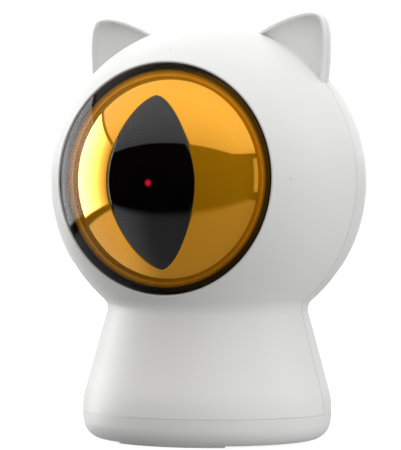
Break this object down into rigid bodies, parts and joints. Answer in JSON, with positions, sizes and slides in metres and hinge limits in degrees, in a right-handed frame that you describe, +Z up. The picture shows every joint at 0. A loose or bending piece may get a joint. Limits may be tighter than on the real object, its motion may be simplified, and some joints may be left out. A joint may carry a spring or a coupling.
{
  "type": "automatic cat laser toy",
  "caption": "Free-standing cat laser toy: round white head with ears on a flared base, amber eye behind a clear dome, and a two-axis motorised laser that shines out through the slit pupil.",
  "frame": {"origin": "centre of the underside, at the height of the table it stands on", "axes": "+Z up through the head, -Y out through the eye, +X to the viewer's right when looking at the eye"},
  "size_m": [0.078, 0.0778, 0.1047],
  "materials": {
    "shell_white": "satin moulded ABS, warm white",
    "foot_rubber": "matt grey rubber",
    "steel": "zinc plated",
    "cell_metal": "printed sleeve without text, plain",
    "nickel": "nickel plated",
    "clear_dome": "polished clear polycarbonate",
    "amber_metal": "vacuum metallised amber, glossy",
    "window_black": "dark red-passing window, polished",
    "bezel_black": "black, satin",
    "grey_plastic": "moulded",
    "acetal": "natural acetal",
    "brass": "turned",
    "motor_can": "drawn can",
    "clear_lens": "moulded acrylic",
    "diode_can": "gold plated",
    "board_green": "solder mask",
    "chip_black": "moulded epoxy",
    "shield_can": "tinned sheet",
    "capacitor_sleeve": "sleeved can",
    "button_grey": "satin",
    "led_body": "clear epoxy",
    "clear_pipe": "moulded acrylic",
    "lead_black": "sleeved pair"
  },
  "bodies": {
    "housing": {"base_cap": "shell_white", "base_screws": "steel", "battery_cells": "cell_metal", "battery_contacts": "nickel", "battery_springs": "nickel", "board_capacitor": "capacitor_sleeve", "board_chips": "chip_black", "board_connectors": "acetal", "board_screws": "steel", "chassis": "grey_plastic", "chassis_screws": "steel", "eye_bezel": "bezel_black", "eye_lens": "clear_dome", "eye_retainer": "grey_plastic", "eye_screws": "steel", "front_shell": "shell_white", "iris_dome": "amber_metal", "light_pipe": "clear_pipe", "main_board": "board_green", "mode_switch": "chip_black", "motor_lead": "lead_black", "pupil_window": "window_black", "rear_shell": "shell_white", "rubber_feet": "foot_rubber", "shell_screws": "steel", "status_led": "led_body", "usb_socket": "shield_can", "wireless_module": "shield_can", "yaw_bush": "acetal", "yaw_motor": "motor_can", "yaw_motor_screws": "steel"},
    "yaw_frame": {"yaw_frame": "grey_plastic", "yaw_gear": "acetal", "yaw_spindle_screw": "steel", "pitch_motor": "motor_can", "pitch_motor_screws": "steel"},
    "laser_cradle": {"laser_cradle": "grey_plastic", "pitch_gear": "acetal", "laser_barrel": "brass", "laser_lens": "clear_lens", "laser_diode": "diode_can", "laser_set_screw": "steel"},
    "yaw_pinion": {"yaw_pinion": "brass", "yaw_motor_shaft": "steel"},
    "pitch_pinion": {"pitch_pinion": "brass", "pitch_motor_shaft": "steel"},
    "mode_button": {"mode_button": "button_grey", "switch_plunger": "chip_black"},
    "battery_door": {"battery_door": "shell_white", "battery_door_screws": "steel"}
  },
  "joints": [
    {"name": "laser_yaw", "type": "hinge", "parent": "housing", "child": "yaw_frame", "pos_m": [0, -0.00059, 0.0638], "axis": [0, 0, 1], "range_deg": [-14, 14]},
    {"name": "laser_pitch", "type": "hinge", "parent": "yaw_frame", "child": "laser_cradle", "pos_m": [0, -0.00059, 0.0638], "axis": [1, 0, 0], "range_deg": [-15, 18]},
    {"name": "yaw_pinion_spin", "type": "hinge", "parent": "housing", "child": "yaw_pinion", "pos_m": [0, 0.01191, 0.044], "axis": [0, 0, 1], "range_deg": [-57, 57]},
    {"name": "pitch_pinion_spin", "type": "hinge", "parent": "yaw_frame", "child": "pitch_pinion", "pos_m": [0.01, 0.01191, 0.0638], "axis": [1, 0, 0], "range_deg": [-73, 61]},
    {"name": "mode_button_press", "type": "slide", "parent": "housing", "child": "mode_button", "axis": [0, -1, 0], "range_m": [0, 0.0006], "stiffness_N_per_m": 2500},
    {"name": "battery_door_off", "type": "slide", "parent": "housing", "child": "battery_door", "axis": [0, 0, -1], "range_m": [0, 0.03]}
  ],
  "couplings": [
    {"joint": "yaw_pinion_spin", "follows": "laser_yaw", "ratio": -4},
    {"joint": "pitch_pinion_spin", "follows": "laser_pitch", "ratio": -4}
  ]
}
